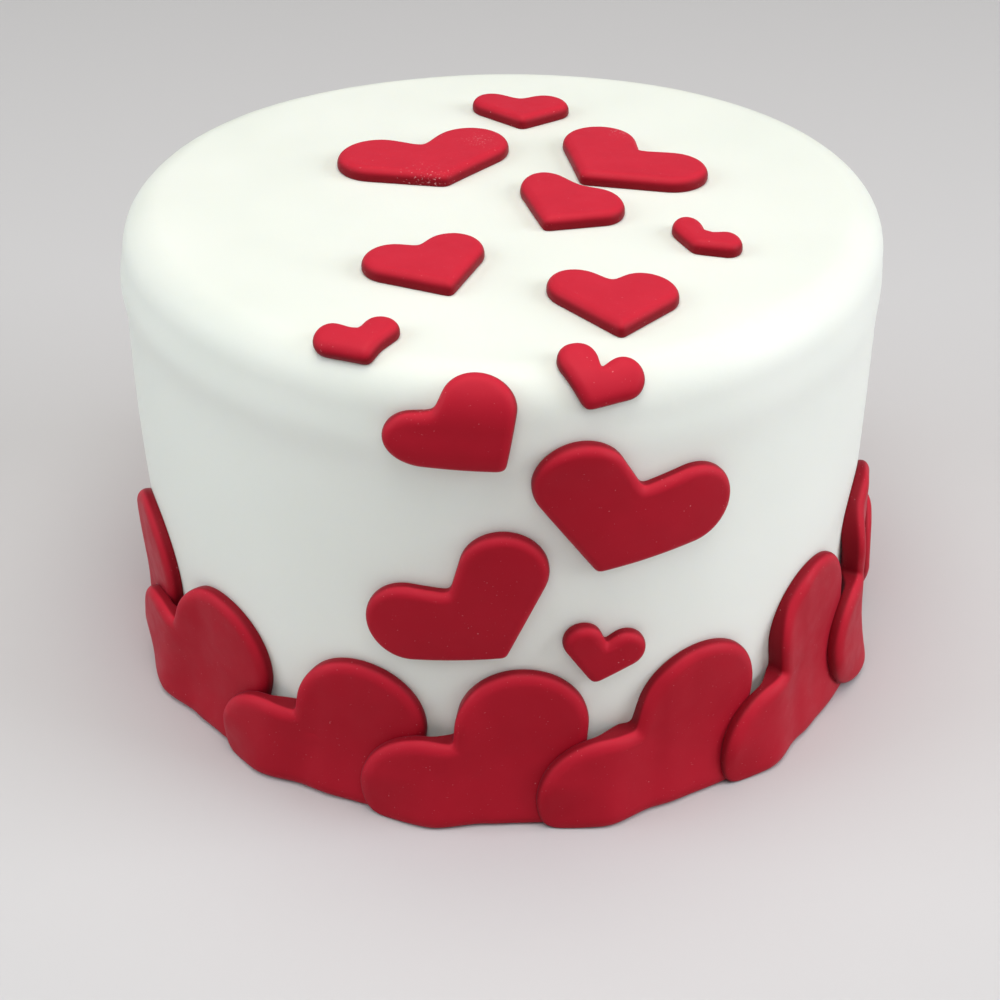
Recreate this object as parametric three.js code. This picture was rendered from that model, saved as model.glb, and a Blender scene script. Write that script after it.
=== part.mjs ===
// A round celebration cake covered in smooth white fondant and decorated with red fondant hearts.
// Large hearts overlap in a ring round the foot, and smaller ones run up the front and over the top.
// Millimetres, +Z up, the foot on Z = 0 and the front towards -Y.
// Angles round the cake are in degrees from the front, growing towards the right (+X).
import * as THREE from 'three';

// The cake as a plain cylinder with a rounded shoulder
const CAKE_RADIUS = 80;
const CAKE_HEIGHT = 101.3;
const SHOULDER_RADIUS = 8.4;
const FOOT_EDGE = 1.5;

// How the hand-covered cake departs from that cylinder
const TOP_DOME = 1.2;
const WAIST_NARROWING = 2.2;
const WAIST_HEIGHT = 40;
const FOOT_FLARE = 2.8;
const FOOT_FLARE_HEIGHT = 22;
const LEFT_BELLY = 2.5;
const RIGHT_BELLY = 0.9;
const OVAL = 0.9;
const OVAL_ANGLE = 116.5;
const THREE_SIDED = 1.5;
const THREE_SIDED_ANGLE = 7;
const FOOT_SHIFT = 1.2;
const LIP = 0.75;
const LIP_ON_LEFT = 0.3;
const LIP_HEIGHT = 87;
const LIP_SPREAD = 5;

// Fondant hearts
const GAP = 0.3;
const HEART_THICKNESS = 2.8;
const EDGE_ROUNDING = 1.8;
const EDGE_SHARE = 0.6;
const EDGE_STEPS = 2;

// Hearts laid by hand: around is the angle round the cake and down the distance along the surface
// from the middle of the top. wide is the heart's width, and lobe, tip and notch are the lobe's
// radius, the tip's depth and the notch's height as shares of it. slant is how far it is skewed.
const SCATTERED_HEARTS = [
  { around: 176.5, down: 42.7, turn: -6, wide: 22.4, lobe: 0.23, tip: 0.53, notch: 0.095, slant: -0.14 },
  { around: -128, down: 21, turn: 21, wide: 38.2, lobe: 0.23, tip: 0.43, notch: 0.06, slant: 0.04 },
  { around: 116.5, down: 27, turn: -45, wide: 36.6, lobe: 0.22, tip: 0.47, notch: 0.05, slant: -0.02 },
  { around: 48, down: 15, turn: -37, wide: 25.5, lobe: 0.245, tip: 0.57, notch: 0.19, slant: -0.23 },
  { around: 57.5, down: 47, turn: -41, wide: 17, lobe: 0.21, tip: 0.38, notch: 0, slant: -0.19 },
  { around: -20, down: 41.5, turn: 25, wide: 25.2, lobe: 0.255, tip: 0.61, notch: 0.135, slant: 0.03 },
  { around: 20.5, down: 56.5, turn: -6, wide: 25.4, lobe: 0.25, tip: 0.635, notch: 0.105, slant: -0.155 },
  { around: -21.2, down: 72.3, turn: 17.5, wide: 16, lobe: 0.22, tip: 0.5, notch: 0, slant: -0.045 },
  { around: 12.2, down: 77.6, turn: -19, wide: 16, lobe: 0.23, tip: 0.48, notch: 0, slant: 0.03 },
  { around: -5.6, down: 87.7, turn: 34, wide: 24.6, lobe: 0.245, tip: 0.53, notch: 0.14, slant: -0.25 },
  { around: 16.4, down: 105.8, turn: -23, wide: 41.6, lobe: 0.21, tip: 0.425, notch: 0.05, slant: 0.03 },
  { around: -5, down: 127, turn: 36.5, wide: 40.3, lobe: 0.215, tip: 0.42, notch: 0.045, slant: 0.025 },
  { around: 13.5, down: 138.5, turn: -17.5, wide: 17.4, lobe: 0.235, tip: 0.53, notch: 0.05, slant: -0.05 },
];

// The ring round the foot. rise is the height of a heart's middle, between its lobes.
// Each heart climbs over the one on its left, and its point is cut off level with the foot.
const RING_LOBE = 0.26;
const RING_TIP = 0.62;
const RING_FRONT = [
  { around: -79, rise: 20, turn: 34, wide: 54.5, notch: 0.12 },
  { around: -55, rise: 16.5, turn: 29.5, wide: 53.2, notch: 0.14 },
  { around: -28.5, rise: 13.3, turn: 37, wide: 52.8, notch: 0.13 },
  { around: -4.3, rise: 15, turn: 40, wide: 51.6, notch: 0.125 },
  { around: 22, rise: 14, turn: 36.5, wide: 54.7, notch: 0.14 },
  { around: 48.5, rise: 16.3, turn: 52, wide: 54.7, notch: 0.125 },
  { around: 72, rise: 23.5, turn: 59, wide: 49.3, notch: 0.12 },
  { around: 99, rise: 24.5, turn: 52, wide: 51, notch: 0.14 },
];
const RING_BACK_COUNT = 6;
const RING_BACK = { rise: 18, turn: 40, wide: 52.5, notch: 0.14 };
const RING_UNEVENNESS = { around: 0.4, rise: 2, turn: 4, wide: 0.8 };
const RING_LEFT_GAP = 34;
const RING_SEED = 11;
const RING_THICKNESS = 3.3;
const RING_TOP_LAYER = 3;
const RING_UNDER_LAYER = 2.7;
const CLIMB_MARGIN = 3;
const CLIMB_LENGTH = 12;
const PRESS_START = 2;
const PRESS_END = 9;

// The left end of a ring heart is squashed flat where it meets the foot
const SQUASH = 0.7;
const SQUASH_LENGTH = 16;
const SQUASH_HEIGHT = 12;

// How finely the faces are divided
const CAKE_SIDES = 80;
const SHOULDER_STEPS = 5;
const SIDE_LEVELS = [11, 22, 40, 58, 76, 82, 87];
const TOP_RINGS = [0.66, 0.33];
const FLAT_DIVISION = { edge: 8, arc: 5, ring: 7 };
const BENT_DIVISION = { edge: 4, arc: 3, ring: 3.2 };
const RING_DIVISION = { edge: 9, arc: 5.7 };
const RING_INNER_RINGS = 3;
const HALF_HEART_HEIGHT = 0.4;
const WALK_STEPS = 12;
const LONGEST_MITRE = 1.4;

const SIDE_HEIGHT = CAKE_HEIGHT - SHOULDER_RADIUS;
const FLAT_RADIUS = CAKE_RADIUS - SHOULDER_RADIUS;
const SHOULDER_LENGTH = SHOULDER_RADIUS * Math.PI / 2;
const { clamp, degToRad, smoothstep } = THREE.MathUtils;

const fondantWhite = () => new THREE.MeshStandardMaterial({
  color: 0xf6f5ec,
  roughness: 0.55,
  metalness: 0,
});
const fondantRed = () => new THREE.MeshStandardMaterial({
  color: 0xb3141f,
  roughness: 0.5,
  metalness: 0,
});

// Repeatable random numbers from 0 to 1
function seededRandom(seed) {
  const factor = 16807;
  const period = 2 ** 31 - 1;
  let state = seed;
  return () => {
    state = (state * factor) % period;
    return state / period;
  };
}

// Unit vector pointing out of the cake at an angle round it
function outwardAt(around) {
  return new THREE.Vector3(Math.sin(around), -Math.cos(around), 0);
}

// Moves a point of the plain cylinder to its place on the uneven, hand-covered cake.
// Hearts go through it too, so they keep lying on the surface.
function settle(point) {
  const radius = Math.hypot(point.x, point.y);
  const around = Math.atan2(point.x, -point.y);
  const height = clamp(point.z / CAKE_HEIGHT, 0, 1);
  const rim = Math.min(radius / CAKE_RADIUS, 1);
  const sideways = Math.sin(around);
  const belly = Math.sin(Math.PI * clamp(point.z / SIDE_HEIGHT, 0, 1));
  const bulge = belly * (sideways < 0 ? -LEFT_BELLY : RIGHT_BELLY) * sideways;
  const below = CAKE_HEIGHT - clamp(point.z, WAIST_HEIGHT, CAKE_HEIGHT);
  const narrowing = WAIST_NARROWING * below / (CAKE_HEIGHT - WAIST_HEIGHT);
  const flare = FOOT_FLARE * clamp(1 - point.z / FOOT_FLARE_HEIGHT, 0, 1) ** 2;
  const oval = OVAL * Math.cos(2 * (around - degToRad(OVAL_ANGLE)));
  const threeSided = THREE_SIDED * Math.cos(3 * (around - degToRad(THREE_SIDED_ANGLE)));
  const outOfRound = (oval + threeSided) * rim * height;
  const fromLip = (point.z - LIP_HEIGHT) / LIP_SPREAD;
  const lip = (LIP - LIP_ON_LEFT * sideways) * Math.exp(-(fromLip ** 2));
  const spread = 1 + (bulge - narrowing + flare + outOfRound + lip) / CAKE_RADIUS;
  return new THREE.Vector3(
    point.x * spread + FOOT_SHIFT * (1 - height),
    point.y * spread,
    point.z + TOP_DOME * (1 - rim ** 2) * height,
  );
}

// Height of a point above the plain cake's skin, and the way out of the skin there
function aboveSkin(point) {
  const radius = Math.hypot(point.x, point.y);
  const past = radius - FLAT_RADIUS;
  const over = point.z - SIDE_HEIGHT;
  const reach = Math.hypot(Math.max(past, 0), Math.max(over, 0));
  const outward = new THREE.Vector3();
  if (reach === 0) {
    outward.set(0, 0, 1);
    return { height: over - SHOULDER_RADIUS, outward };
  }
  const level = past > 0 ? past / reach / radius : 0;
  outward.set(point.x * level, point.y * level, Math.max(over, 0) / reach);
  return { height: reach - SHOULDER_RADIUS, outward };
}

// Point on the plain cake's skin, from the angle round it and the distance down from the top's middle
function pointOnSkin(around, down) {
  const out = outwardAt(around);
  if (down < FLAT_RADIUS) return out.multiplyScalar(down).setZ(CAKE_HEIGHT);
  const bend = Math.min((down - FLAT_RADIUS) / SHOULDER_RADIUS, Math.PI / 2);
  const z = SIDE_HEIGHT + SHOULDER_RADIUS * Math.cos(bend);
  const drop = Math.max(down - FLAT_RADIUS - SHOULDER_LENGTH, 0);
  return out.multiplyScalar(FLAT_RADIUS + SHOULDER_RADIUS * Math.sin(bend)).setZ(z - drop);
}

// Walks along the plain cake's skin in small straight steps, as a soft sheet of fondant bends over it
function walkOnSkin(start, heading, distance) {
  const point = start.clone();
  const ahead = heading.clone();
  for (let step = 0; step < WALK_STEPS; step += 1) {
    point.addScaledVector(ahead, distance / WALK_STEPS);
    const { height, outward } = aboveSkin(point);
    point.addScaledVector(outward, -height);
    ahead.addScaledVector(outward, -ahead.dot(outward)).normalize();
  }
  return point;
}

// Points from a to b, without b, no further apart than the longest edge
function straightRun(a, b, longest) {
  const count = Math.ceil(a.distanceTo(b) / longest);
  return Array.from({ length: count }, (_, i) => a.clone().lerp(b, i / count));
}

// Right half of a heart, from the notch over the round lobe to just above the tip.
// The lobe runs into straight lines that touch its circle.
function halfHeart(wide, { lobe, tip, notch }, division) {
  const radius = lobe * wide;
  const middle = new THREE.Vector2(wide / 2 - radius, 0);
  const touch = (point, side) => {
    const away = point.clone().sub(middle);
    return away.angle() + side * Math.acos(radius / away.length());
  };
  const notchPoint = new THREE.Vector2(0, notch * wide);
  const tipPoint = new THREE.Vector2(0, -tip * wide);
  const from = touch(notchPoint, -1);
  const to = touch(tipPoint, 1) - 2 * Math.PI;
  const count = Math.ceil((from - to) * radius / division.arc);
  const arc = [];
  for (let i = 0; i <= count; i += 1) {
    const angle = from + (to - from) * i / count;
    arc.push(middle.clone().add(new THREE.Vector2(radius, 0).rotateAround(new THREE.Vector2(), angle)));
  }
  const inner = straightRun(notchPoint, arc[0], division.edge);
  const outer = straightRun(arc[count], tipPoint, division.edge);
  return [...inner, ...arc.slice(0, -1), ...outer];
}

// Whole outline of a heart, anticlockwise from above, turned and with the middle of its lobes at 0, 0
function heartOutline(wide, cutter, turn, division) {
  const right = halfHeart(wide, cutter, division);
  const tip = new THREE.Vector2(0, -cutter.tip * wide);
  const left = right.slice(1).map((p) => new THREE.Vector2(-p.x, p.y));
  const outline = [right[0], ...left, tip, ...right.slice(1).reverse()];
  const slanted = outline.map((p) => new THREE.Vector2(p.x + cutter.slant * p.y, p.y));
  return slanted.map((p) => p.rotateAround(new THREE.Vector2(), degToRad(turn)));
}

// The same outline drawn in by a distance
function drawnIn(outline, distance) {
  const count = outline.length;
  return outline.map((p, i) => {
    const before = p.clone().sub(outline[(i + count - 1) % count]).normalize();
    const after = outline[(i + 1) % count].clone().sub(p).normalize();
    const inward = new THREE.Vector2(-before.y - after.y, before.x + after.x).normalize();
    const stretch = Math.min(1 / Math.sqrt((1 + before.dot(after)) / 2), LONGEST_MITRE);
    return p.clone().addScaledVector(inward, distance * stretch);
  });
}

// Closed skin over a stack of rings with equal numbers of points and a single point at each end
function ringStack(first, rings, last) {
  const count = rings[0].length;
  const points = [first, ...rings.flat(), last];
  const at = (ring, i) => 1 + ring * count + (i % count);
  const faces = [];
  for (let i = 0; i < count; i += 1) {
    faces.push(0, at(0, i + 1), at(0, i));
    faces.push(points.length - 1, at(rings.length - 1, i), at(rings.length - 1, i + 1));
    for (let ring = 0; ring < rings.length - 1; ring += 1) {
      faces.push(at(ring, i), at(ring, i + 1), at(ring + 1, i + 1));
      faces.push(at(ring, i), at(ring + 1, i + 1), at(ring + 1, i));
    }
  }
  const geometry = new THREE.BufferGeometry().setFromPoints(points);
  geometry.setIndex(faces);
  geometry.computeVertexNormals();
  return geometry;
}

// A heart cut from rolled fondant: flat underside, upright edge and rounded upper edge.
// lay places a point of the flat heart, with level 0 for the underside and 1 for the face.
function heartGeometry(outline, innerRings, lay) {
  const ring = (points, size, level) => points.map((p) => lay(p.x * size, p.y * size, level));
  const sizes = Array.from({ length: innerRings }, (_, i) => (i + 1) / (innerRings + 1));
  const face = drawnIn(outline, EDGE_ROUNDING);
  const edge = [];
  for (let step = 0; step <= EDGE_STEPS; step += 1) {
    const angle = Math.PI / 2 * step / EDGE_STEPS;
    const inset = EDGE_ROUNDING * (1 - Math.cos(angle));
    edge.push(ring(drawnIn(outline, inset), 1, 1 - EDGE_SHARE * (1 - Math.sin(angle))));
  }
  const rings = [
    ...sizes.map((size) => ring(outline, size, 0)),
    ring(outline, 1, 0),
    ...edge,
    ...sizes.map((size) => ring(face, size, 1)).reverse(),
  ];
  return ringStack(lay(0, 0, 0), rings, lay(0, 0, 1));
}

// Whether a heart bends over the cake's shoulder
function crossesShoulder({ down, wide }) {
  const shoulderMiddle = FLAT_RADIUS + SHOULDER_LENGTH / 2;
  return Math.abs(down - shoulderMiddle) < SHOULDER_LENGTH / 2 + wide * HALF_HEART_HEIGHT;
}

// A heart laid on the top, over the shoulder or on the side
function scatteredHeart(heart) {
  const division = crossesShoulder(heart) ? BENT_DIVISION : FLAT_DIVISION;
  const centre = pointOnSkin(degToRad(heart.around), heart.down);
  const { outward } = aboveSkin(centre);
  const right = new THREE.Vector3(1, 0, 0).projectOnPlane(outward).normalize();
  const up = outward.clone().cross(right);
  const middle = new THREE.Vector2(0, (heart.lobe - heart.tip) / 2 * heart.wide);
  middle.rotateAround(new THREE.Vector2(), degToRad(heart.turn));
  const outline = heartOutline(heart.wide, heart, heart.turn, division).map((p) => p.sub(middle));
  const lay = (u, v, level) => {
    const heading = right.clone().multiplyScalar(u).addScaledVector(up, v).normalize();
    const spot = walkOnSkin(centre, heading, Math.hypot(u, v));
    return settle(spot.addScaledVector(aboveSkin(spot).outward, GAP + level * HEART_THICKNESS));
  };
  const innerRings = Math.ceil(heart.wide / 2 / division.ring) - 1;
  return heartGeometry(outline, innerRings, lay);
}

function ringOutline({ wide, turn, notch }) {
  return heartOutline(wide, { lobe: RING_LOBE, tip: RING_TIP, notch, slant: 0 }, turn, RING_DIVISION);
}

// How far a point lies outside a closed outline, negative inside it
function distanceOutside(point, outline) {
  const edge = new THREE.Vector2();
  const away = new THREE.Vector2();
  let nearest = Infinity;
  let inside = false;
  outline.forEach((start, i) => {
    const end = outline[(i + 1) % outline.length];
    edge.subVectors(end, start);
    away.subVectors(point, start);
    const passes = (start.y > point.y) !== (end.y > point.y);
    if (passes && away.x < away.y * edge.x / edge.y) inside = !inside;
    const along = clamp(away.dot(edge) / edge.lengthSq(), 0, 1);
    nearest = Math.min(nearest, away.addScaledVector(edge, -along).length());
  });
  return inside ? -nearest : nearest;
}

// A heart of the ring. Its left part climbs over the neighbour, its right part is pressed thinner
// where the next heart lies on it, and everything below the foot is cut off.
function ringHeart(heart) {
  const outline = ringOutline(heart);
  outline.forEach((p) => p.setY(Math.max(p.y, -heart.rise)));
  const leftEnd = Math.min(...outline.map((p) => p.x));
  const lay = (u, v, level) => {
    const z = heart.rise + v;
    const beside = distanceOutside(new THREE.Vector2(u, v), heart.neighbour);
    const climb = 1 - smoothstep(beside, CLIMB_MARGIN, CLIMB_MARGIN + CLIMB_LENGTH);
    const press = smoothstep(u, PRESS_START, PRESS_END);
    const low = 1 - smoothstep(z, 0, SQUASH_HEIGHT);
    const squash = SQUASH * low * (1 - smoothstep(u, leftEnd, leftEnd + SQUASH_LENGTH));
    const inner = GAP + climb * (RING_UNDER_LAYER + GAP);
    const thinner = climb * (RING_THICKNESS - RING_TOP_LAYER) + press * (RING_THICKNESS - RING_UNDER_LAYER);
    const radius = CAKE_RADIUS + inner + level * (RING_THICKNESS - thinner) * (1 - squash);
    return settle(outwardAt(degToRad(heart.around) + u / CAKE_RADIUS).multiplyScalar(radius).setZ(z));
  };
  return heartGeometry(outline, RING_INNER_RINGS, lay);
}

// The hearts of the ring that show, and the rest of them round the back
function ringPlaces() {
  const random = seededRandom(RING_SEED);
  const uneven = (size) => (random() * 2 - 1) * size;
  const last = RING_FRONT[RING_FRONT.length - 1].around;
  const step = (360 + RING_FRONT[0].around - RING_LEFT_GAP - last) / RING_BACK_COUNT;
  const back = Array.from({ length: RING_BACK_COUNT }, (_, i) => ({
    around: last + step * (i + 1) + uneven(RING_UNEVENNESS.around),
    rise: RING_BACK.rise + uneven(RING_UNEVENNESS.rise),
    turn: RING_BACK.turn + uneven(RING_UNEVENNESS.turn),
    wide: RING_BACK.wide + uneven(RING_UNEVENNESS.wide),
    notch: RING_BACK.notch,
  }));
  return [...RING_FRONT, ...back];
}

// The same hearts, each with the outline of the neighbour that lies under its left part
function ringHearts() {
  const hearts = ringPlaces();
  return hearts.map((heart, i) => {
    const neighbour = hearts.at(i - 1);
    const apart = degToRad((heart.around - neighbour.around + 360) % 360) * CAKE_RADIUS;
    const offset = new THREE.Vector2(-apart, neighbour.rise - heart.rise);
    return { ...heart, neighbour: ringOutline(neighbour).map((p) => p.add(offset)) };
  });
}

// The uncut cake under its white fondant, one solid from the foot to the top
function cakeGeometry() {
  const profile = [[CAKE_RADIUS - FOOT_EDGE, 0], [CAKE_RADIUS, FOOT_EDGE]];
  SIDE_LEVELS.forEach((z) => profile.push([CAKE_RADIUS, z]));
  for (let step = 0; step <= SHOULDER_STEPS; step += 1) {
    const angle = Math.PI / 2 * step / SHOULDER_STEPS;
    const radius = FLAT_RADIUS + SHOULDER_RADIUS * Math.cos(angle);
    profile.push([radius, SIDE_HEIGHT + SHOULDER_RADIUS * Math.sin(angle)]);
  }
  TOP_RINGS.forEach((share) => profile.push([FLAT_RADIUS * share, CAKE_HEIGHT]));
  const rings = profile.map(([radius, z]) => Array.from({ length: CAKE_SIDES }, (_, i) => (
    settle(outwardAt(2 * Math.PI * i / CAKE_SIDES).multiplyScalar(radius).setZ(z))
  )));
  const foot = settle(new THREE.Vector3(0, 0, 0));
  const crown = settle(new THREE.Vector3(0, 0, CAKE_HEIGHT));
  return ringStack(foot, rings, crown);
}

function addPiece(group, name, geometry, material) {
  const mesh = new THREE.Mesh(geometry, material);
  mesh.name = name;
  group.add(mesh);
}

const twoDigits = (index) => String(index + 1).padStart(2, '0');

const group = new THREE.Group();
addPiece(group, 'cake', cakeGeometry(), fondantWhite());
SCATTERED_HEARTS.forEach((heart, i) => {
  addPiece(group, `heart_${twoDigits(i)}`, scatteredHeart(heart), fondantRed());
});
ringHearts().forEach((heart, i) => {
  addPiece(group, `ring_heart_${twoDigits(i)}`, ringHeart(heart), fondantRed());
});

// The origin is under the middle of the whole cake's outline
const middle = new THREE.Box3().setFromObject(group).getCenter(new THREE.Vector3());
group.position.set(-middle.x, -middle.y, 0);

export default group;
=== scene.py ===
# %% [markdown]
# # A fondant heart cake
# This lesson dresses a plain solid model of a celebration cake until it looks like the real one:
# a round cake under smooth white sugar paste, with red sugar paste hearts running up the front and
# over the top, and a ring of large overlapping hearts round the foot.
# The solid model comes first, because every finer shape made here has to lie where its solid lies.

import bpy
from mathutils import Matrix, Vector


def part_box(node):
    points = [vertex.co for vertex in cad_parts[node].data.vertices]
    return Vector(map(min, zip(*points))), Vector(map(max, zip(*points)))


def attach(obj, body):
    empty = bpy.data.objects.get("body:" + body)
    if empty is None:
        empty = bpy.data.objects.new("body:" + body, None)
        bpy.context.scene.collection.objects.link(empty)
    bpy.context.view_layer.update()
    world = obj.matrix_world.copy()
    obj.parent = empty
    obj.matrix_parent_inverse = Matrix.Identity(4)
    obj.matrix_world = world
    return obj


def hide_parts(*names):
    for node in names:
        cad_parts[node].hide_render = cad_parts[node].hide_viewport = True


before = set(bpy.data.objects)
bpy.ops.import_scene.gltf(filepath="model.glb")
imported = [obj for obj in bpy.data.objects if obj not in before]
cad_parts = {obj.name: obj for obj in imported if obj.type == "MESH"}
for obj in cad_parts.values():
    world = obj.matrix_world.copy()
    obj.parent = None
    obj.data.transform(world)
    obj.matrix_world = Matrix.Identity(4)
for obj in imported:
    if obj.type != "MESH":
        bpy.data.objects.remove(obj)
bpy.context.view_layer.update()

# %% Other modules
import math

import bpy
import numpy as np
from mathutils import Matrix, Vector

MM = 0.001

# %% [markdown]
# ## The shape of the cake
# A cake under rolled sugar paste is close to a cylinder with a soft shoulder, but no hand leaves it
# exact. We could sculpt the unevenness, and every heart would then have to be fitted to the sculpture
# by eye. It is simpler to think in two steps: a plain cylinder, on which everything is easy to place,
# and one smooth function that settles any point of it into the uneven cake. Hearts go through the
# same function, so they keep lying on the surface wherever they are.

# %% Sizes of the plain cake, in millimetres
CAKE_RADIUS = 80.0
CAKE_HEIGHT = 101.3
SHOULDER = 8.4
SIDE_HEIGHT = CAKE_HEIGHT - SHOULDER
FLAT_RADIUS = CAKE_RADIUS - SHOULDER
print("plain cake:", 2 * CAKE_RADIUS, "mm wide,", CAKE_HEIGHT, "mm tall")


# %% How the hand-covered cake departs from it
def settle(points):
    """Moves points of the plain cake, one a row, to their places on the uneven one."""
    x, y, z = points.T
    radius, around = np.hypot(x, y), np.arctan2(x, -y)
    height, rim = np.clip(z / CAKE_HEIGHT, 0, 1), np.minimum(radius / CAKE_RADIUS, 1)
    belly = np.sin(np.pi * np.clip(z / SIDE_HEIGHT, 0, 1))
    bulge = belly * np.sin(around) * np.where(np.sin(around) < 0, -2.5, 0.9)
    narrowing = 2.2 * (CAKE_HEIGHT - np.clip(z, 40, CAKE_HEIGHT)) / (CAKE_HEIGHT - 40)
    flare = 2.8 * np.clip(1 - z / 22, 0, 1) ** 2
    oval = 0.9 * np.cos(2 * (around - math.radians(116.5)))
    three_sided = 1.5 * np.cos(3 * (around - math.radians(7)))
    lip = (0.75 - 0.3 * np.sin(around)) * np.exp(-(((z - 87) / 5) ** 2))
    spread = 1 + (bulge - narrowing + flare + (oval + three_sided) * rim * height + lip) / CAKE_RADIUS
    dome = 1.2 * (1 - rim**2) * height
    return np.column_stack([x * spread + 1.2 * (1 - height), y * spread, z + dome])


# %% [markdown]
# Laying something on the cake needs two more answers: how far a point is above the plain skin, and
# which way is out of the skin there. On the top out is up, on the side it is away from the middle,
# and round the shoulder it turns from one to the other.

# %% Height above the plain skin, and the way out of it
def above_skin(points):
    """For each point its height above the plain skin, and the unit vector out of the skin."""
    radius = np.hypot(points[:, 0], points[:, 1])
    past = np.maximum(radius - FLAT_RADIUS, 0)
    over = points[:, 2] - SIDE_HEIGHT
    reach = np.hypot(past, np.maximum(over, 0))
    safe = np.maximum(reach, 1e-9)
    level = past / safe / np.maximum(radius, 1e-9)
    out = np.column_stack([points[:, 0] * level, points[:, 1] * level, np.maximum(over, 0) / safe])
    inside = reach == 0
    out[inside] = (0, 0, 1)
    return np.where(inside, over, reach) - SHOULDER, out


# %% [markdown]
# Under a smoothing paddle sugar paste still keeps long, very shallow waves. They are a quarter of a
# millimetre high at most, but soft light shows them. A handful of sine waves through space, in random
# directions, gives them without a seam anywhere.

# %% Shallow waves left by the smoothing paddle
random = np.random.default_rng(5)
wave_directions = random.normal(size=(10, 3))
wave_directions /= np.linalg.norm(wave_directions, axis=1)[:, None]
wave_lengths = random.uniform(24, 70, 10)
wave_phases = random.uniform(0, 2 * np.pi, 10)


def wave_height(points):
    turns = points @ (wave_directions / wave_lengths[:, None]).T * 2 * np.pi + wave_phases
    return (np.sin(turns) * wave_lengths / 70).sum(1) * 0.045


def place(points):
    """Plain points in millimetres to finished points in metres, before the shift to the solid."""
    _, out = above_skin(points)
    waved = points + out * wave_height(points)[:, None]
    waved[:, 2] = np.maximum(waved[:, 2], 0)
    return settle(waved) * MM


print("waves: up to", round(float(np.abs(wave_height(random.uniform(-80, 80, (4000, 3)))).max()), 2), "mm")

# %% [markdown]
# ## One way to make every piece
# The cake and the hearts are all closed skins that can be described as a stack of rings: a point at
# the bottom, rings that grow and climb, and a point on top. Joining neighbouring rings with
# four-sided faces gives clean meshes that shade softly, so one helper serves for all of them.

# %% From a stack of rings to a mesh piece
def ring_stack(name, bottom, rings, top):
    """Closed mesh piece from a bottom point, equal rings of points in order, and a top point."""
    count, levels = len(rings[0]), len(rings)
    points = np.vstack([bottom, *rings, top])
    i = np.arange(count)
    j = (i + 1) % count
    start = 1 + np.arange(levels - 1)[:, None] * count
    quads = np.stack([start + i, start + j, start + count + j, start + count + i], 2).reshape(-1, 4)
    last = 1 + (levels - 1) * count
    under = np.column_stack([np.zeros(count, int), 1 + j, 1 + i])
    over = np.column_stack([np.full(count, len(points) - 1), last + i, last + j])
    mesh = bpy.data.meshes.new(name)
    mesh.from_pydata(points.tolist(), [], quads.tolist() + under.tolist() + over.tolist())
    mesh.shade_smooth()
    piece = bpy.data.objects.new(name, mesh)
    bpy.context.scene.collection.objects.link(piece)
    return piece


# %% [markdown]
# ## The cake under its white sugar paste
# The profile of the cake runs from the middle of the underside out to the foot, up the side, round
# the shoulder and in to the middle of the top. Turning it through a full circle gives the rings.
# Rows every millimetre and a half are close enough for the waves and the soft shoulder to show.

# %% Profile of the plain cake
side = [(CAKE_RADIUS, z) for z in np.linspace(1.5, SIDE_HEIGHT, 60)]
bends = np.linspace(0, np.pi / 2, 18)[1:]
shoulder = [(FLAT_RADIUS + SHOULDER * np.cos(b), SIDE_HEIGHT + SHOULDER * np.sin(b)) for b in bends]
flat_top = [(radius, CAKE_HEIGHT) for radius in np.linspace(FLAT_RADIUS, 2, 36)[1:]]
underside = [(40, 0), (CAKE_RADIUS - 1.5, 0), (CAKE_RADIUS - 0.5, 0.4)]
profile = underside + side + shoulder + flat_top
print("profile:", len(profile), "points")

# %% Turn the profile
angles = np.linspace(0, 2 * np.pi, 361)[:-1]
circle = np.column_stack([np.sin(angles), -np.cos(angles), np.zeros(360)])
rings = [place(circle * radius + (0, 0, z)) for radius, z in profile]
cake = ring_stack("fondant_cake", place(np.zeros((1, 3))), rings, place(np.array([[0, 0, CAKE_HEIGHT]])))


def middle(corners):
    return (Vector(corners[0]) + Vector(corners[1])) / 2


own_points = np.array([v.co for v in cake.data.vertices])
shift = middle(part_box("cake")) - middle((own_points.min(0), own_points.max(0)))
shift.z = 0
print("cake faces:", len(cake.data.polygons))
print("shift to the solid:", [round(x / MM, 2) for x in shift], "mm")


# %% Set a piece on its solid
def set_on_solid(piece, node):
    """Moves a finished piece to the solid it stands for, and ties it to it."""
    piece.data.transform(Matrix.Translation(shift))
    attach(piece, "root")
    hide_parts(node)
    own = np.array([v.co for v in piece.data.vertices])
    low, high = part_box(node)
    return max(np.abs(own.min(0) - low).max(), np.abs(own.max(0) - high).max()) / MM


print("cake: box differs by", round(set_on_solid(cake, "cake"), 2), "mm")

# %% [markdown]
# ## Hearts
# The hearts are cut from rolled red sugar paste with a heart-shaped cutter. The outline is two round
# lobes that run into straight lines, which meet in the notch and in the tip. Hands and paste soften
# the corners, so the outline is sampled finely and then blurred along its length, a little at the
# tip and as much as each heart shows at the notch.

# %% Right half of a heart, from the notch to the tip
def half_heart(wide, lobe, tip, notch):
    """Points a half millimetre apart, as complex numbers, with the middle of the lobes at 0."""
    radius, centre = lobe * wide, (0.5 - lobe) * wide
    ends = [1j * notch * wide, -1j * tip * wide]
    away = [end - centre for end in ends]
    start = np.angle(away[0]) - np.arccos(radius / abs(away[0]))
    stop = np.angle(away[1]) + np.arccos(radius / abs(away[1]))
    start += 2 * np.pi if start < stop else 0
    sweep = np.linspace(start, stop, max(int((start - stop) * radius / 0.5), 8))
    arc = centre + radius * np.exp(1j * sweep)
    first = np.linspace(ends[0], arc[0], max(int(abs(ends[0] - arc[0]) / 0.5), 2))
    final = np.linspace(arc[-1], ends[1], max(int(abs(ends[1] - arc[-1]) / 0.5), 2))
    return np.concatenate([first[:-1], arc[:-1], final])


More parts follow.
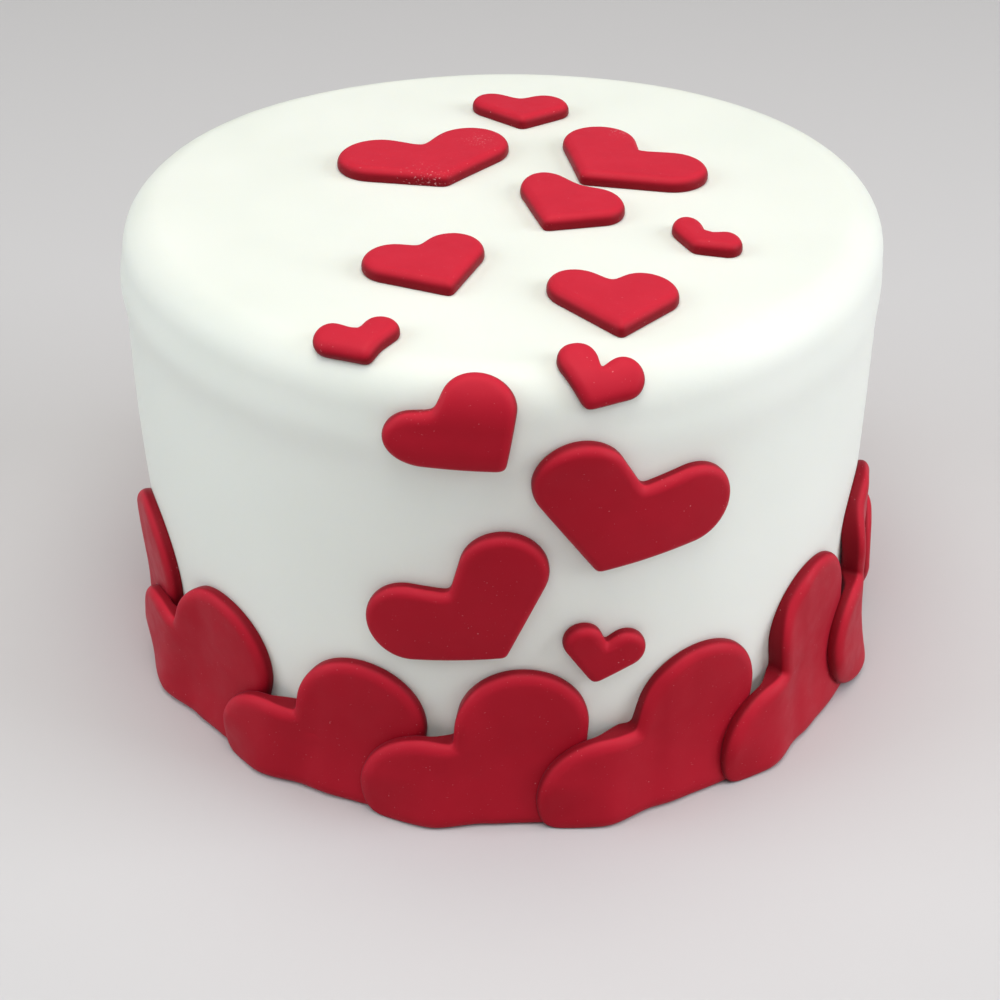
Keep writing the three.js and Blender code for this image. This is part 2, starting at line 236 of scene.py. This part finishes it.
# %% Even spacing and soft corners
def evenly(outline, step=0.55):
    """The same closed outline with its points equally far apart."""
    closed = np.append(outline, outline[0])
    lengths = np.concatenate([[0], np.cumsum(np.abs(np.diff(closed)))])
    spots = np.linspace(0, lengths[-1], int(lengths[-1] / step) + 1)[:-1]
    return np.interp(spots, lengths, closed.real) + 1j * np.interp(spots, lengths, closed.imag)


def soften(outline, corner, reach):
    """Rounds the outline near one corner, over about as many millimetres as its reach."""
    near = np.exp(-((np.abs(outline - corner) / (3 * reach)) ** 2))
    for _ in range(int(reach**2 / 0.12)):
        blurred = (np.roll(outline, 1) + 2 * outline + np.roll(outline, -1)) / 4
        outline = outline + (blurred - outline) * near
    return outline


# %% Whole outline of a heart
def heart_outline(wide, lobe, tip, notch, slant, turn, soft_tip=0.9, soft_notch=0.9):
    """Anticlockwise outline, turned and skewed, with the middle of the lobes at 0."""
    right = half_heart(wide, lobe, tip, notch)
    outline = evenly(np.concatenate([right[::-1], -np.conj(right[1:-1])]))
    outline = soften(outline, -1j * tip * wide, soft_tip)
    outline = soften(outline, 1j * notch * wide, soft_notch)
    skewed = outline + slant * outline.imag
    return skewed * np.exp(1j * math.radians(turn))


sample = heart_outline(40, 0.205, 0.4, 0.05, 0, 0)
print("large heart outline:", len(sample), "points,", round(float(np.ptp(sample.real)), 1), "mm wide")

# %% [markdown]
# The section of a cut heart matters more than it seems. The film it is cut through draws the upper
# edge down into a wide soft rounding, so only the lowest third of the wall is upright. If the height
# of every point follows from its true distance to the outline, the rounding stays equally wide round
# the lobes, in the notch and at the tip.

# %% Distance to the outline, and the height that follows from it
def edge_distance(points, outline):
    """Distance of each point to the closed outline."""
    a, b = outline[None, :], np.roll(outline, -1)[None, :]
    along = np.real((points[:, None] - a) * np.conj(b - a)) / np.abs(b - a) ** 2
    nearest = a + np.clip(along, 0, 1) * (b - a)
    return np.abs(points[:, None] - nearest).min(1)


def face_height(distance, thickness, rounding, crown=0.12):
    """Height above the skin, upright at the outline, rounded over, then almost flat."""
    share = 1 - np.minimum(distance, rounding) / rounding
    swell = crown * (1 - np.exp(-np.maximum(distance - rounding, 0) / 4))
    return (thickness - crown) * (0.3 + 0.7 * np.sqrt(1 - share**2)) + swell


# %% Rings of a heart, from the middle of its underside to the middle of its face
def heart_rings(outline, thickness, rounding):
    """Middle of a heart, and a list of (points in the plane, height of each, share of wall)."""
    core = outline.mean()
    spokes = outline - core
    reach = np.abs(spokes).max()
    level = np.ones(len(spokes))
    rings = [(core + spokes * size, -0.15 * level, level) for size in (0.3, 0.6, 0.85)]
    rings.append((core + spokes * (1 - 0.45 / reach), -0.15 * level, level))
    rings.append((core + spokes * (1 - 0.15 / reach), 0.1 * level, level))
    rings.append((outline, 0.45 * level, level))
    edge = [0, 0.03, 0.1, 0.22, 0.4, 0.65, 0.95, 1.3, 1.7, 2.15, 2.65, 3.2]
    inner = np.arange(4, reach * 0.93, max(reach / 14, 1.1))
    for inset in [*edge, *inner]:
        points = core + spokes * (1 - inset / reach)
        heights = face_height(edge_distance(points, outline), thickness, rounding)
        for _ in range(6 if inset > 0.3 else 0):
            heights = (np.roll(heights, 1) + 2 * heights + np.roll(heights, -1)) / 4
        rings.append((points, heights, level * math.exp(-((inset / 0.4) ** 2))))
    return core, rings


print("rings of that heart:", len(heart_rings(sample, thickness=3.1, rounding=2)[1]))


# %% A heart as a piece
def heart_piece(name, outline, thickness, rounding, lay):
    """Closed mesh of a heart, with the share of cut wall stored at every point, where its material paints
    shade.
    """
    core, rings = heart_rings(outline, thickness, rounding)
    bottom = lay(np.array([core]), np.array([-0.15]))
    top = lay(np.array([core]), rings[-1][1].max(keepdims=True))
    piece = ring_stack(name, bottom, [lay(points, heights) for points, heights, _ in rings], top)
    # The share of cut wall is stored so that the red material can paint shade on the wall.
    wall_shade_share = piece.data.attributes.new("cut_wall_painted_shade", "FLOAT", "POINT")
    wall_shade_share.data.foreach_set("value", np.concatenate([[1], *[ring[2] for ring in rings], [0]]))
    return piece


# %% Walk over the skin of the cake
def walk_on_skin(start, headings, distances, steps=16):
    """Ends of walks along the plain skin, as a soft sheet of paste bends over it."""
    spots = np.repeat(start[None, :], len(headings), 0)
    ahead = headings.copy()
    for _ in range(steps):
        spots = spots + ahead * (distances / steps)[:, None]
        height, out = above_skin(spots)
        spots = spots - out * height[:, None]
        ahead = ahead - out * (ahead * out).sum(1)[:, None]
        ahead /= np.maximum(np.linalg.norm(ahead, axis=1), 1e-9)[:, None]
    return spots


def start_on_skin(around, down):
    """Point of the plain skin at an angle from the front and a distance from the top's middle."""
    out = np.array([math.sin(around), -math.cos(around), 0])
    bend = min(max(down - FLAT_RADIUS, 0) / SHOULDER, math.pi / 2)
    drop = max(down - FLAT_RADIUS - SHOULDER * math.pi / 2, 0)
    radius = min(down, FLAT_RADIUS) + SHOULDER * math.sin(bend)
    return out * radius + (0, 0, SIDE_HEIGHT + SHOULDER * math.cos(bend) - drop)


# %% [markdown]
# ## The hearts that run up the front and over the top
# Each heart was laid by hand, so each has its own place, turn and size, and its own slight skew from
# being lifted while soft. A heart that lies over the shoulder bends with it: its flat outline is
# walked along the skin from the middle of the heart outwards, as the real sheet of paste was.
# The two large hearts on the side have the sharpest tips, and two small ones the sharpest notches.

# %% Their places: angle from the front, way down from the middle of the top, turn and shape
heart_places = [
    dict(around=176.5, down=42.7, turn=-6, wide=22.4, lobe=0.23, tip=0.53, notch=0.095, slant=-0.14),
    dict(around=-128, down=21, turn=21, wide=38.2, lobe=0.23, tip=0.43, notch=0.06, slant=0.04),
    dict(around=116.5, down=27, turn=-45, wide=36.6, lobe=0.22, tip=0.47, notch=0.05, slant=-0.02),
    dict(around=48, down=15, turn=-37, wide=25.5, lobe=0.245, tip=0.57, notch=0.19, slant=-0.23),
    dict(around=57.5, down=47, turn=-41, wide=17, lobe=0.21, tip=0.38, notch=0, slant=-0.19),
    dict(around=-20, down=41.5, turn=25, wide=25.2, lobe=0.255, tip=0.61, notch=0.135, slant=0.03),
    dict(around=20.5, down=56.5, turn=-6, wide=25.4, lobe=0.25, tip=0.635, notch=0.105, slant=-0.155),
    dict(around=-21.2, down=72.3, turn=17.5, wide=16, lobe=0.22, tip=0.5, notch=0, slant=-0.045),
    dict(around=12.2, down=77.6, turn=-19, wide=16, lobe=0.23, tip=0.48, notch=0, slant=0.03),
    dict(around=-5.6, down=87.7, turn=34, wide=24.6, lobe=0.245, tip=0.53, notch=0.14, slant=-0.25),
    dict(around=16.4, down=105.8, turn=-23, wide=41.6, lobe=0.21, tip=0.425, notch=0.05, slant=0.03),
    dict(around=-5, down=127, turn=36.5, wide=40.3, lobe=0.215, tip=0.42, notch=0.045, slant=0.025),
    dict(around=13.5, down=138.5, turn=-17.5, wide=17.4, lobe=0.235, tip=0.53, notch=0.05, slant=-0.05),
]
for sharp_tip in (10, 11):
    heart_places[sharp_tip]["soft_tip"] = 0.5
for sharp_notch in (8, 12):
    heart_places[sharp_notch]["soft_notch"] = 0.5
print("scattered hearts:", len(heart_places))


# %% Lay a heart on the cake
HEART_THICKNESS = 3.1
HEART_ROUNDING = 2.0


def scattered_heart(name, around, down, turn, wide, lobe, tip, notch, slant, **soft):
    centre = start_on_skin(math.radians(around), down)
    _, out = above_skin(centre[None, :])
    right = np.array([1.0, 0, 0]) - out[0] * out[0][0]
    right /= np.linalg.norm(right)
    up = np.cross(out[0], right)
    outline = heart_outline(wide, lobe, tip, notch, slant, turn, **soft)
    outline = outline - 1j * (lobe - tip) / 2 * wide * np.exp(1j * math.radians(turn))

    def lay(points, heights):
        headings = points.real[:, None] * right + points.imag[:, None] * up
        distances = np.abs(points)
        spots = walk_on_skin(centre, headings / np.maximum(distances, 1e-9)[:, None], distances)
        return place(spots + above_skin(spots)[1] * heights[:, None])

    return heart_piece(name, outline, HEART_THICKNESS, HEART_ROUNDING, lay)


# %% All thirteen
heart_pieces = []
for number, heart in enumerate(heart_places, 1):
    piece = scattered_heart(f"red_heart_{number:02d}", **heart)
    off = set_on_solid(piece, f"heart_{number:02d}")
    heart_pieces.append(piece)
    print(piece.name, "faces:", len(piece.data.polygons), "box differs by", round(off, 2), "mm")

# %% [markdown]
# ## The ring round the foot
# The ring is laid from left to right. Every heart leans to the left, lies over its left neighbour
# and is cut off level with the foot of the cake. So its left part climbs on to the neighbour, which
# pushes the paste below it a little thinner, and its right lobe lies flat on the cake. Down at the
# foot the left end is squashed flat on to the neighbour, so the ring ends below in one smooth line.
# Beside the neighbour the paste sags, so its underside comes down to the cake sooner than its face.
# Six hearts that the camera can't see carry the ring on round the back, each a little different.

# %% Their places: angle from the front, height of the heart's middle, turn, width and notch
ring_places = [
    dict(around=-79, rise=20, turn=34, wide=54.5, notch=0.12),
    dict(around=-55, rise=16.5, turn=29.5, wide=53.2, notch=0.14),
    dict(around=-28.5, rise=13.3, turn=37, wide=52.8, notch=0.13),
    dict(around=-4.3, rise=15, turn=40, wide=51.6, notch=0.125),
    dict(around=22, rise=14, turn=36.5, wide=54.7, notch=0.14),
    dict(around=48.5, rise=16.3, turn=52, wide=54.7, notch=0.125),
    dict(around=72, rise=23.5, turn=59, wide=49.3, notch=0.12),
    dict(around=99, rise=24.5, turn=52, wide=51, notch=0.14),
]


def small_random_numbers(state):
    """Endless numbers from -1 to 1, the same ones as in the solid model."""
    while True:
        state = state * 16807 % (2**31 - 1)
        yield state / (2**31 - 1) * 2 - 1


HIDDEN_HEARTS = 6
LEFT_GAP = 34
uneven = small_random_numbers(11)
last_seen = ring_places[-1]["around"]
step = (360 + ring_places[0]["around"] - LEFT_GAP - last_seen) / HIDDEN_HEARTS
for k in range(HIDDEN_HEARTS):
    around = last_seen + step * (k + 1) + next(uneven) * 0.4
    rise, turn = 18 + next(uneven) * 2, 40 + next(uneven) * 4
    wide = 52.5 + next(uneven) * 0.8
    ring_places.append(dict(around=around, rise=rise, turn=turn, wide=wide, notch=0.14))
print("ring hearts:", len(ring_places), "one every", round(step, 1), "degrees round the back")


# %% Outline of a ring heart, and of the neighbour that lies under its left part
RING_LOBE, RING_TIP = 0.26, 0.62


def ring_outline(turn, wide, notch, **elsewhere):
    return heart_outline(wide, RING_LOBE, RING_TIP, notch, slant=0, turn=turn, soft_notch=0.6)


for left, heart in zip([ring_places[-1], *ring_places[:-1]], ring_places):
    apart = math.radians((heart["around"] - left["around"]) % 360) * CAKE_RADIUS
    heart["neighbour"] = ring_outline(**left) - apart + 1j * (left["rise"] - heart["rise"])


def distance_outside(points, outline):
    """How far points lie outside a closed outline, zero inside it."""
    a, b = outline[None, :] - points[:, None], np.roll(outline, -1)[None, :] - points[:, None]
    turns_round = np.abs(np.angle(b / a).sum(1)) > 3
    return np.where(turns_round, 0, edge_distance(points, outline))


def smoothly(value, low, high):
    """Goes from 0 at low to 1 at high without a corner at either end."""
    t = np.clip((value - low) / (high - low), 0, 1)
    return t * t * (3 - 2 * t)


middles = [distance_outside(np.zeros(1), heart["neighbour"])[0] for heart in ring_places]
print("from the middle of each heart to its neighbour:", [round(float(m)) for m in middles], "mm")


# %% Thickness of the ring hearts, and how they are lifted, pressed and squashed, in millimetres
RING_THICKNESS = 3.6
RING_ROUNDING = 2.7
LIFT = 3
FACE_COMES_DOWN = (3, 15)
UNDERSIDE_COMES_DOWN = (0.5, 8)
PRESSED_FROM = (2, 9)
SQUASH = 0.7
SQUASH_HEIGHT = 12
SQUASH_LENGTH = 16


# %% One heart of the ring
def ring_heart(name, around, rise, turn, wide, notch, neighbour):
    whole = ring_outline(turn, wide, notch)
    outline = evenly(whole.real + 1j * np.maximum(whole.imag, -rise))
    at_foot = outline[outline.imag < 0.01 - rise]
    left_end = outline.real.min()
    for side in (at_foot.real.min(), at_foot.real.max()) if len(at_foot) else ():
        outline = soften(outline, side - 1j * rise, 2)

    def lay(points, heights):
        u, z = points.real, rise + points.imag
        apart = distance_outside(points, neighbour)
        below = (heights < 0.3)[:, None]
        low, high = np.where(below, UNDERSIDE_COMES_DOWN, FACE_COMES_DOWN).T
        climb = 1 - smoothly(apart, low, high)
        squash = SQUASH * (1 - smoothly(z, 0, SQUASH_HEIGHT))
        squash = squash * (1 - smoothly(u, left_end, left_end + SQUASH_LENGTH))
        thinner = climb * 0.3 + smoothly(u, *PRESSED_FROM) * 0.6
        height = heights * (1 - thinner / RING_THICKNESS) * (1 - squash)
        radius = CAKE_RADIUS + climb * LIFT + height
        angle = math.radians(around) + u / CAKE_RADIUS
        return place(np.column_stack([np.sin(angle) * radius, -np.cos(angle) * radius, z]))

    return heart_piece(name, outline, RING_THICKNESS, RING_ROUNDING, lay)


# %% All fourteen
for number, heart in enumerate(ring_places, 1):
    piece = ring_heart(f"red_ring_heart_{number:02d}", **heart)
    off = set_on_solid(piece, f"ring_heart_{number:02d}")
    heart_pieces.append(piece)
    print(piece.name, "faces:", len(piece.data.polygons), "box differs by", round(off, 2), "mm")

# %% [markdown]
# ## Materials
# A material is a small network of nodes. Two short helpers keep the recipes readable: one adds a
# node with its settings, the other adds bump at a named size in millimetres.

# %% Helpers for node recipes
def new_material(name, colour):
    material = bpy.data.materials.new(name)
    material.use_nodes = True
    material.diffuse_color = (*colour, 1)
    tree = material.node_tree
    return material, tree, tree.nodes["Principled BSDF"]


def add(tree, kind, sockets=None, **settings):
    node = tree.nodes.new(kind)
    for key, value in settings.items():
        setattr(node, key, value)
    for key, value in (sockets or {}).items():
        node.inputs[key].default_value = value
    return node


def join(tree, source, target):
    tree.links.new(source, target)


# %% A noise of a given grain size, and a bump from it
def grain(tree, place_output, size_mm, detail=2.0, roughness=0.5):
    sockets = {"Scale": 1 / (size_mm * MM), "Detail": detail, "Roughness": roughness}
    noise = add(tree, "ShaderNodeTexNoise", sockets)
    join(tree, place_output, noise.inputs["Vector"])
    return noise.outputs["Fac"]


def bump(tree, height_output, depth_mm, before=None):
    node = add(tree, "ShaderNodeBump", {"Strength": 1.0, "Distance": depth_mm * MM})
    join(tree, height_output, node.inputs["Height"])
    if before is not None:
        join(tree, before, node.inputs["Normal"])
    return node.outputs["Normal"]


# %% [markdown]
# White sugar paste is matt to satin: fine sugar scatters light just under the surface, so shadows on
# it stay soft and bright. Its tone drifts a little between cream and cool white, the shine changes
# where hands and paddle polished it, and the surface has a very fine grain.

# %% White sugar paste
white, tree, shader = new_material("white_sugar_paste", (0.88, 0.875, 0.82))
at = add(tree, "ShaderNodeTexCoord").outputs["Object"]
drift = grain(tree, at, 45, 1)
tone = add(tree, "ShaderNodeValToRGB")
tone.color_ramp.elements[0].position, tone.color_ramp.elements[1].position = 0.3, 0.7
tone.color_ramp.elements[0].color = (0.86, 0.862, 0.80, 1)
tone.color_ramp.elements[1].color = (0.90, 0.892, 0.835, 1)
join(tree, drift, tone.inputs["Fac"])
join(tree, tone.outputs["Color"], shader.inputs["Base Color"])
shine = add(tree, "ShaderNodeMapRange", {"From Min": 0.3, "From Max": 0.7, "To Min": 0.44, "To Max": 0.58})
join(tree, grain(tree, at, 16, 3), shine.inputs["Value"])
join(tree, shine.outputs["Result"], shader.inputs["Roughness"])
soft_dents = bump(tree, grain(tree, at, 9, 1), 0.10)
peel = bump(tree, grain(tree, at, 1.8, 2), 0.02, soft_dents)
join(tree, bump(tree, grain(tree, at, 0.35, 2), 0.006, peel), shader.inputs["Normal"])
shader.inputs["Subsurface Weight"].default_value = 0.2
shader.inputs["Subsurface Radius"].default_value = (1.0, 0.9, 0.7)
shader.inputs["Subsurface Scale"].default_value = 0.002
shader.inputs["Specular IOR Level"].default_value = 0.4
cake.data.materials.append(white)
print(white.name, "nodes:", len(tree.nodes))

# %% [markdown]
# Red sugar paste carries so much colour that little light leaves it, and its shine is weak. The red
# is painted lighter and a little hazy on whatever looks up, as painted light from above with a
# painted sheen, while upright faces keep a deep colour as painted shade. The upward part of the
# surface direction tells the two apart, so one material serves for every heart. The cut wall is
# painted darker still, as painted shade in the crevice between heart and cake. Fine starch also
# gives a faint reddish sheen to what is seen at a slant.

# %% Mix two tones by a share
def mix(tree, share_output, first, second):
    """Colour output between two tones, each of them a colour or another node's output."""
    node = add(tree, "ShaderNodeMix", data_type="RGBA")
    join(tree, share_output, node.inputs["Factor"])
    for tone, socket in ((first, node.inputs["A"]), (second, node.inputs["B"])):
        if isinstance(tone, tuple):
            socket.default_value = (*tone, 1)
        else:
            join(tree, tone, socket)
    return node.outputs["Result"]


def between(tree, value_output, low, high, start=0.0, end=1.0):
    """Output that goes from start to end while the value goes from low to high."""
    sockets = {"From Min": low, "From Max": high, "To Min": start, "To Max": end}
    node = add(tree, "ShaderNodeMapRange", sockets)
    join(tree, value_output, node.inputs["Value"])
    return node.outputs["Result"]


# %% Red sugar paste: painted shade on upright faces, painted light where it looks up, painted shade on the cut wall
red, tree, shader = new_material("red_sugar_paste", (0.56, 0.010, 0.026))
at = add(tree, "ShaderNodeTexCoord").outputs["Object"]
direction = add(tree, "ShaderNodeSeparateXYZ")
join(tree, add(tree, "ShaderNodeNewGeometry").outputs["Normal"], direction.inputs["Vector"])
# Painted light: the more the surface looks up, the more the red is mixed towards a lighter, hazier tone;
# upright faces keep the deep tone as painted shade.
painted_light_share = between(tree, direction.outputs["Z"], 0.0, 0.85)
patches = grain(tree, at, 7, 2)
painted_shade_red = mix(tree, patches, (0.37, 0.005, 0.016), (0.43, 0.006, 0.020))
painted_lit_red = mix(tree, patches, (0.57, 0.018, 0.039), (0.64, 0.024, 0.048))
face = mix(tree, painted_light_share, painted_shade_red, painted_lit_red)
wall_shade_share = add(tree, "ShaderNodeAttribute", attribute_name="cut_wall_painted_shade").outputs["Fac"]
# Painted shade: by its stored share, the cut wall is mixed towards a dark red.
whole = mix(tree, between(tree, wall_shade_share, 0, 1, 0, 0.8), face, (0.17, 0.003, 0.008))

# %% [markdown]
# A few specks of starch stay on every heart. On three hearts some was left thicker, most of it on the
# front edge of the large heart at the left of the top. Nearness to such a spot raises the noise that
# makes the specks, so more of it passes the limit there. Each spot is given by its place and reach,
# in millimetres.

# %% Starch specks, thicker near four spots
dusty_spots = [((-17, 1.5, 102), 9), ((-7, 20, 104), 7), ((24, 25, 104), 5), ((-15, -79, 93), 5)]
dust = grain(tree, at, 0.5, 1)
for spot, reach in dusty_spots:
    apart = add(tree, "ShaderNodeVectorMath", {1: [x * MM for x in spot]}, operation="DISTANCE")
    join(tree, at, apart.inputs[0])
    nearness = between(tree, apart.outputs["Value"], reach * MM, 0, 0, 0.2)
    raised = add(tree, "ShaderNodeMath", operation="ADD")
    join(tree, dust, raised.inputs[0])
    join(tree, nearness, raised.inputs[1])
    dust = raised.outputs["Value"]
specks = between(tree, dust, 0.74, 0.86, 0, 0.5)
join(tree, mix(tree, specks, whole, (0.80, 0.38, 0.40)), shader.inputs["Base Color"])

# %% Shine and surface of the red paste
join(tree, between(tree, grain(tree, at, 5, 3), 0.3, 0.7, 0.44, 0.58), shader.inputs["Roughness"])
soft_dents = bump(tree, grain(tree, at, 4, 1), 0.08)
join(tree, bump(tree, grain(tree, at, 0.4, 2), 0.012, soft_dents), shader.inputs["Normal"])
shader.inputs["Specular IOR Level"].default_value = 0.09
shader.inputs["Sheen Weight"].default_value = 0.1
shader.inputs["Sheen Roughness"].default_value = 0.4
shader.inputs["Sheen Tint"].default_value = (1, 0.35, 0.5, 1)
shader.inputs["Subsurface Weight"].default_value = 0.1
shader.inputs["Subsurface Radius"].default_value = (1.0, 0.1, 0.1)
shader.inputs["Subsurface Scale"].default_value = 0.001
for piece in heart_pieces:
    piece.data.materials.append(red)
print(red.name, "on", len(heart_pieces), "hearts")

# %% [markdown]
# ## Floor, light and camera
# A plain pale floor and large soft lights keep attention on the cake. A wide light right above makes
# the top the brightest part. A second one, above and in front, catches the rounded edges of the
# hearts. Two more from the sides shape the round of the cake, the right one stronger, and a faint
# glow all round keeps the shade open.

# %% Floor
bpy.ops.mesh.primitive_plane_add(size=6)
floor = bpy.context.object
floor.name = "studio_floor"
FLOOR_TONE = (0.64, 0.605, 0.62)
pale, tree, shader = new_material("pale_floor", FLOOR_TONE)
shader.inputs["Base Color"].default_value = (*FLOOR_TONE, 1)
shader.inputs["Roughness"].default_value = 0.7
floor.data.materials.append(pale)


# %% Lights
LIGHT_DISTANCE = 1.4
LIT_POINT = Vector((0, 0, 0.05))


def soft_light(name, around, up, size, power, colour):
    """Square light by its angle from the front, its angle above the floor and its size in metres."""
    level = math.cos(math.radians(up))
    away = Vector((math.sin(math.radians(around)) * level, -math.cos(math.radians(around)) * level, 0))
    away.z = math.sin(math.radians(up))
    data = bpy.data.lights.new(name, "AREA")
    data.shape, data.size = "SQUARE", size
    data.energy, data.color = power, colour
    light = bpy.data.objects.new(name, data)
    light.location = away * LIGHT_DISTANCE + LIT_POINT
    light.rotation_euler = away.to_track_quat("Z", "Y").to_euler()
    bpy.context.scene.collection.objects.link(light)


soft_light("light_above", 0, 90, 1.2, 10.5, (1, 0.965, 0.85))
soft_light("light_above_front", 0, 60, 1.0, 6.7, (0.9, 0.97, 1))
soft_light("light_left", -80, 25, 0.8, 6.9, (0.84, 0.96, 1))
soft_light("light_right", 80, 25, 0.8, 10.8, (0.89, 0.955, 1))
world = bpy.data.worlds.new("studio_air")
bpy.context.scene.world = world
world.use_nodes = True
world.node_tree.nodes["Background"].inputs["Color"].default_value = (0.93, 1, 0.99, 1)
world.node_tree.nodes["Background"].inputs["Strength"].default_value = 0.155
bpy.context.scene.view_settings.view_transform = "Standard"

# %% [markdown]
# The camera looks down at the front of the cake at about thirty-five degrees from less than half a
# metre away, close enough for the top to look clearly wider than the foot. The focal length is given
# as a share of the picture's width, and small turns set the cake a little off the middle.

# %% Camera
ELEVATION, DISTANCE = math.radians(35.43), 0.45782
AIM_SIDEWAYS, AIM_UP, ROLL = math.radians(0.095), math.radians(2.639), math.radians(0.639)
SENSOR, FOCAL_SHARE = 36, 1.91315
back = Vector((0, -math.cos(ELEVATION), math.sin(ELEVATION)))
turned = Matrix.Rotation(math.radians(90) - ELEVATION, 4, "X")
aim = Matrix.Rotation(AIM_SIDEWAYS, 4, "Y") @ Matrix.Rotation(AIM_UP, 4, "X")
roll = Matrix.Rotation(ROLL, 4, "Z")
camera = bpy.data.objects.new("camera", bpy.data.cameras.new("camera"))
camera.data.sensor_width = SENSOR
camera.data.lens = FOCAL_SHARE * SENSOR
camera.data.clip_start = 0.01
camera.matrix_world = Matrix.Translation(back * DISTANCE + shift) @ turned @ aim @ roll
bpy.context.scene.collection.objects.link(camera)
bpy.context.scene.camera = camera
print("camera at", [round(x, 3) for x in camera.matrix_world.translation])
